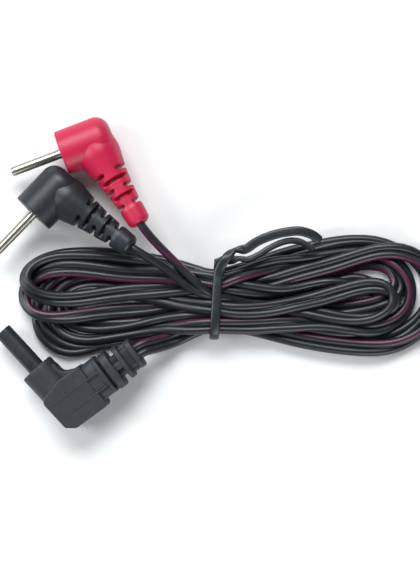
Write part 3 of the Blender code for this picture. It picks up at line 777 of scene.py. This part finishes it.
def slot_dent(reach, cosine, sine):
    """Share of the tail's radius kept at five ring slots with crescent ends.

    The odd slots are bridged above and below, the even ones at both sides. Kept = 1 - depth * inside * open.
    """
    keep = np.ones(np.broadcast_shapes(reach.shape, cosine.shape))
    for index, centre in enumerate(SLOT_CENTRES):
        bridge = np.abs(cosine) if index % 2 == 0 else np.abs(sine)
        open_share = np.clip((bridge - 0.36) / 0.22, 0.0, 1.0)
        half = SLOT_HALF_WIDTH * (0.55 + 0.45 * open_share)
        inside = np.clip((half - np.abs(reach - centre)) / SLOT_SOFT + 0.5, 0.0, 1.0)
        keep = np.minimum(keep, 1.0 - SLOT_DEPTH * eased(inside) * eased(open_share))
    return keep


def tail_stations():
    """The tail from inside the head to its end, with a short room for the lead."""
    outer = profile((
        (-3.6 * MM, 0.05 * MM, 0), (-3.6 * MM, 4.1 * MM, 3.6 * MM), (0.6 * MM, 4.5 * MM, 4 * MM),
        (3.4 * MM, 4.62 * MM, 5 * MM),
        (8.5 * MM, 3.4 * MM, 6 * MM), (11.0 * MM, 3.0 * MM, 3 * MM), (16.0 * MM, 2.45 * MM, 1 * MM),
        (16.8 * MM, 2.56 * MM, 0.8 * MM), (TAIL_LENGTH, 2.3 * MM, 1.0 * MM), (TAIL_LENGTH, 1.0 * MM, 0.2 * MM),
        (TAIL_LENGTH - 3 * MM, 0.93 * MM, 0), (TAIL_LENGTH - 3 * MM, 0.02 * MM, 0),
    ))
    return round_stations(resampled(outer, 0.11 * MM))


def head_stations():
    """The head from its rounded back to its flat face, with the seat of the pin."""
    outer = profile((
        (-4.5 * MM, 0.05 * MM, 0), (-4.5 * MM, 4.75 * MM, 2.9 * MM), (6.7 * MM, 4.7 * MM, 0.35 * MM),
        (6.7 * MM, 1.75 * MM, 0.2 * MM), (6.3 * MM, 1.6 * MM, 0.1 * MM), (6.3 * MM, 1.04 * MM, 0.1 * MM),
        (3.2 * MM, 1.03 * MM, 0), (3.2 * MM, 0.02 * MM, 0),
    ), steps=9)
    return round_stations(resampled(outer, 0.35 * MM))


def pin_stations():
    """A straight 2 mm rod with a rounded end."""
    outer = profile((
        (1.0 * MM, 0.02 * MM, 0), (1.0 * MM, 0.99 * MM, 0), (17.9 * MM, 0.99 * MM, 0.3 * MM),
        (17.9 * MM, 0.3 * MM, 0.05 * MM), (17.8 * MM, 0.02 * MM, 0),
    ))
    return round_stations(resampled(outer, 0.8 * MM))


def pin_plug(colour, place, lean, finish):
    """A right-angle plug: slotted tail joined to a round head, with the pin standing out of the head."""
    frame_matrix = plug_frame(place)
    to_pin = frame_matrix @ turn_in_plane(-90.0 - lean)
    tail = turned(barrel(tail_stations(), count=MOULD_SIDES, dent=slot_dent), frame_matrix)
    head = turned(barrel(head_stations(), count=MOULD_SIDES), to_pin)
    cover = merged(f"{colour}_plug_mould", [head, tail], [], finish)
    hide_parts(f"{colour}_plug_cover")
    stations = pin_stations()
    rings = turned(barrel(stations, count=PIN_SIDES), to_pin)
    pin = mesh_piece(f"{colour}_contact_pin", *skin(rings), NICKEL, around_rows(stations[:, 0], PIN_SIDES))
    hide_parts(f"{colour}_pin")
    for piece, slot in ((cover, f"{colour}_pvc"), (pin, "nickel_plate")):
        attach(piece, "root")
    return cover, pin


def outline_body(outline, low, high, edge, steps=5):
    """Rings of a flat body: an outline drawn up between two heights, with quarter-round edges."""
    ahead = np.roll(outline, -1, axis=0) - np.roll(outline, 1, axis=0)
    outward = unit(np.column_stack([ahead[:, 1], -ahead[:, 0]]))
    angle = np.linspace(0.0, np.pi / 2, steps)
    inset = edge * (1 - np.sin(angle))
    inset = np.concatenate([[edge + 0.1 * MM], inset, inset[::-1], [edge + 0.1 * MM]])
    rise = edge * (1 - np.cos(angle))
    height = np.concatenate([[low], low + rise, high - rise[::-1], [high]])
    flat = outline[None] - inset[:, None, None] * outward[None]
    return np.dstack([flat, np.broadcast_to(height[:, None], flat.shape[:2])])


def closed_outline(points):
    """An outline through (x, y, rounding) corners, with its corners rounded."""
    first = tuple((points[0][axis] + points[-1][axis]) / 2 for axis in range(2)) + (0,)
    line = profile((first, *points, first), steps=7)[:-1]
    return resampled(np.vstack([line, line[:1]]), 0.5 * MM)[:-1]


def device_plug():
    """The angled, shrouded plug: flat-sided mould with two raised lines, grip recess and slotted relief."""
    frame_matrix = plug_frame(DEVICE_PLACE)
    half = 3.75 * MM
    flat_body = closed_outline([(x * MM, y * MM, r * MM) for x, y, r in (
        (-4.0, 3.6, 1.6), (-3.2, -3.8, 0.9), (-1.3, -5.2, 1.2), (6.9, -5.3, 0.8), (6.9, 5.0, 0.6),
        (1.2, 5.1, 2.0),
    )])
    fillet = closed_outline([(x * MM, y * MM, r * MM) for x, y, r in (
        (1.0, 3.5, 0.5), (5.6, 3.5, 0.5), (5.2, 5.05, 0.6), (3.1, 6.0, 1.5), (2.85, 8.6, 0.6),
        (1.0, 8.6, 0.5),
    )])
    shells = [outline_body(flat_body, -half, half, 0.4 * MM),
              outline_body(fillet, -2.3 * MM, 2.3 * MM, 0.35 * MM)]
    to_barrel = turn_in_plane(BARREL_ANGLE)
    head = profile((
        (-4.2 * MM, 0.05 * MM, 0), (-4.2 * MM, 3.7 * MM, 1.2 * MM), (9.95 * MM, 3.76 * MM, 0.4 * MM),
        (9.95 * MM, 1.0 * MM, 0),
    ))
    shells.append(turned(barrel(round_stations(resampled(head, 1.5 * MM)), count=96), to_barrel))
    shoulder = rounded_ends(6.2 * MM, 9.6 * MM, 4.35 * MM, 3.3 * MM, 0.4 * MM)
    shells.append(barrel(shoulder, 0.55) + (0.0, 0.3 * MM, 0.0))
    spine = rounded_ends(5.5 * MM, 9.7 * MM, 1.95 * MM, half, 0.3 * MM)
    shells.append(barrel(spine, 0.22))
    rim = rounded_ends(9.3 * MM, 10.2 * MM, 4.4 * MM, half, 0.25 * MM)
    shells.append(barrel(rim, 0.6) + (0.0, 0.3 * MM, 0.0))
    for low, high, wide, tall in ((10.7, 12.6, 4.3, 3.4), (14.0, 15.2, 3.9, 3.0), (16.8, 18.1, 3.4, 2.7)):
        shells.append(barrel(rounded_ends(low * MM, high * MM, wide * MM, tall * MM, 0.35 * MM), 0.6))
    shells.append(barrel(rounded_ends(9.0 * MM, 17.4 * MM, 2.5 * MM, 1.5 * MM, 0.3 * MM), 0.5))
    for low, high, wide, tall in ((9.8, 11.0, 4.0, 0.95), (12.2, 14.4, 0.95, 2.8), (14.8, 17.2, 3.2, 0.95)):
        bridge = rounded_ends(low * MM, high * MM, wide * MM, tall * MM, 0.15 * MM)
        shells.append(barrel(bridge, 0.4, count=48))
    ridge = rounded_ends(-2.5 * MM, 9.4 * MM, 0.16 * MM, 0.13 * MM, 0.08 * MM)
    for across in (1.55, -1.9):
        shells.append(barrel(ridge, 0.8, count=24) + (0.0, across * MM, half))
    cuts = []
    for level in (half, -half):
        recess = rounded_ends(6.4 * MM, 9.2 * MM, 1.35 * MM, 0.35 * MM, 0.1 * MM)
        cuts.append(barrel(recess, 0.15, count=48) + (0.0, -0.17 * MM, level))
    bore = round_stations(np.array(((8.6, 1.9), (13.0, 1.9))) * MM)
    cuts.append(turned(barrel(bore, count=64), to_barrel))
    lead_room = rounded_ends(16.0 * MM, 19.0 * MM, 1.82 * MM, 0.92 * MM, 0.05 * MM)
    cuts.append(barrel(lead_room, 0.75, count=48))
    cover = merged("device_plug_mould", [turned(shell, frame_matrix) for shell in shells],
                   [turned(cut, frame_matrix) for cut in cuts], DEVICE_PVC)
    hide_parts("device_plug_cover")
    barrel_frame = frame_matrix @ to_barrel
    tube = round_stations(resampled(profile((
        (8.1, 1.55, 0), (8.1, 2.85, 0.1), (9.0, 2.85, 0.1), (9.0, 1.88, 0.05), (20.5, 1.86, 0.18),
        (20.5, 1.5, 0.12), (8.1, 1.5, 0),
    )) * MM, 0.6 * MM))
    rings = barrel(tube, count=72)
    shroud = ring_piece("device_plug_barrel", turned(rings, barrel_frame), SHROUD_PLASTIC)
    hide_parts("device_shroud")
    for piece, slot in ((cover, "device_pvc"), (shroud, "device_shroud")):
        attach(piece, "root")
    return cover, shroud


def ring_piece(name, rings, finish):
    """A tube with an open bore: the last ring joins the first, so it has no ends."""
    stations, count = rings.shape[:2]
    places = np.arange(count)
    base = np.arange(stations)[:, None] * count
    above = np.roll(np.arange(stations), -1)[:, None] * count
    following = np.roll(places, -1)
    quads = np.stack(np.broadcast_arrays(base + places, base + following, above + following, above + places),
                     axis=-1).reshape(-1, 4)
    return mesh_piece(name, rings.reshape(-1, 3), quads.tolist(), finish)


# ---------------------------------------------------------------- tie


RIBBON_SIDES = 20
TIE_KNOT = np.array(((1.0, 2.6, 6.0), (3.4, 3.7, 6.2))) * MM
TIE_OUTER_ARM = np.array((
    (5.2, 4.8, 6.4), (7.2, 6.1, 6.6), (10.0, 7.4, 7.0), (13.55, 8.3, 7.2), (16.7, 8.5, 7.2), (19.2, 7.7, 6.8),
    (20.9, 6.4, 6.2),
)) * MM
TIE_INNER_ARM = np.array((
    (5.4, 2.6, 6.2), (7.9, 3.6, 6.0), (10.0, 4.9, 5.8), (12.5, 6.1, 5.8), (14.8, 6.6, 5.8), (16.7, 6.3, 5.8),
    (18.2, 5.5, 5.8), (19.6, 4.6, 5.8),
)) * MM


def tie():
    """A flat PVC ribbon: one arm, the twist, once round the hank, the twist, the other arm.

    The ring is centre + across * level + upward * up, both of them signed powers of cosine and sine.
    """
    turn = np.radians(np.linspace(62.0, 382.0, 33))
    across = signed_power(np.cos(turn), TIE_SQUARENESS) * TIE_HALF_WIDTH
    upward = signed_power(np.sin(turn), TIE_SQUARENESS) * TIE_HALF_HEIGHT
    ring = TIE_CENTRE + across[:, None] * TIE_ACROSS + upward[:, None] * UP
    low, high = TIE_KNOT
    along = unit(high - low)
    side = unit(np.cross(along, UP))
    share = np.linspace(0.0, 1.0, 4)[:, None]
    angle = np.pi / 2 * (1.0 + share)
    swing = (np.cos(angle) * side + np.sin(angle) * np.cross(side, along)) * 0.95 * MM
    line = low + share * (high - low)
    first, second = (line + swing)[::-1], line - swing
    knots = np.vstack([TIE_OUTER_ARM[::-1], first, ring, second, TIE_INNER_ARM])
    flat_out = np.cross(UP, unit(np.gradient(TIE_OUTER_ARM[::-1], axis=0)))
    wide = np.vstack([
        flat_out, unit(np.cross(along, swing))[::-1], np.tile((1.0, 0.0, 0.0), (len(ring), 1)),
        unit(np.cross(along, swing)), np.tile((0.0, 0.3, 1.0), (len(TIE_INNER_ARM), 1)),
    ])
    for index in range(1, len(wide)):
        if wide[index] @ wide[index - 1] < 0:
            wide[index:] *= -1
    fine = smooth_line(np.column_stack([knots, wide]), 0.35 * MM)
    path, wide = fine[:, :3], unit(fine[:, 3:])
    places = np.arange(len(path))
    to_end = np.clip(np.minimum(places, places[::-1]) / 2, 0, 1)
    taper = np.sqrt(np.clip(1 - (1 - to_end) ** 2, 0.02, 1))
    section = oval_section(1.0 * MM, 0.56 * MM, 0.62, RIBBON_SIDES)
    rings = carried(path, wide, section[None] * taper[:, None, None])
    around = around_rows(distance_along(path), RIBBON_SIDES)
    ribbon = mesh_piece("tie_ribbon", *skin(rings), TIE_PVC, around)
    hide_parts("tie_jacket")
    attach(ribbon, "root")
    return ribbon


# ---------------------------------------------------------------- the scene


NODE_FINISHES = {
    "red_pin_bush": HARD_PLASTIC, "black_pin_bush": HARD_PLASTIC, "device_inner_mould": HARD_PLASTIC,
    "red_crimp": BRASS, "black_crimp": BRASS, "device_centre_contact": BRASS, "device_centre_lug": BRASS,
    "device_sleeve_contact": NICKEL, "device_sleeve_lug": NICKEL, "device_contact_insulator": NATURAL_PLASTIC,
    "red_copper": COPPER, "black_copper": COPPER,
    "device_copper_plain": COPPER, "device_copper_striped": COPPER,
    "tie_core_wire": IRON,
}


def dress_cad_nodes():
    """Finishes for the CAD nodes that keep their own shape."""
    for name, finish in NODE_FINISHES.items():
        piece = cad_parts[name]
        piece.data.materials.clear()
        piece.data.materials.append(finish)


def area_light(name, place, aim, size, power, colour):
    """A rectangular lamp that faces a point."""
    data = bpy.data.lights.new(name, "AREA")
    data.shape = "RECTANGLE"
    data.size, data.size_y = size
    data.energy = power
    data.color = colour
    lamp = added(name, data)
    lamp.location = place
    lamp.rotation_euler = (Vector(aim) - Vector(place)).to_track_quat("-Z", "Y").to_euler()


def studio():
    """A pale floor, a soft key beyond the far side of the set, two fills and a dim room."""
    mesh = bpy.data.meshes.new("floor")
    mesh.from_pydata([(-1.5, -1.5, 0), (1.5, -1.5, 0), (1.5, 1.5, 0), (-1.5, 1.5, 0)], [], [(0, 1, 2, 3)])
    floor = added("floor", mesh)
    white, _, shader = finish_tree("floor paper", 0.9)
    shader.inputs["Base Color"].default_value = (0.86, 0.86, 0.86, 1.0)
    mesh.materials.append(white)
    area_light("key", (-0.12, 0.55, 0.60), (0, 0, 0), (0.60, 0.36), 7.6, (0.97, 0.985, 1.0))
    area_light("left", (-0.60, 0.05, 0.38), (0, 0, 0), (0.30, 0.55), 3.2, (0.95, 0.98, 1.0))
    area_light("front", (0.25, -0.62, 0.40), (0, 0, 0), (0.60, 0.30), 3.4, (0.95, 0.98, 1.0))
    world = bpy.data.worlds.new("dim room")
    bpy.context.scene.world = world
    world.use_nodes = True
    world.node_tree.nodes["Background"].inputs[0].default_value = (0.92, 0.96, 1.0, 1.0)
    world.node_tree.nodes["Background"].inputs[1].default_value = 0.10
    bpy.context.scene.view_settings.view_transform = "Standard"


def camera():
    """A long lens straight above the set."""
    data = bpy.data.cameras.new("camera")
    data.sensor_width = 36.0
    data.lens = 146.0
    data.clip_start = 0.01
    eye = added("camera", data)
    eye.location = (-0.0022, -0.00455, 0.503)
    bpy.context.scene.camera = eye


def main():
    camera()
    conductors, web = leads()
    red_cover, red_pin = pin_plug("red", RED_PLACE, RED_LEAN, RED_PVC)
    black_cover, black_pin = pin_plug("black", BLACK_PLACE, BLACK_LEAN, BLACK_PVC)
    device_plug()
    tie()
    dress_cad_nodes()
    studio()


main()
bpy.context.view_layer.update()
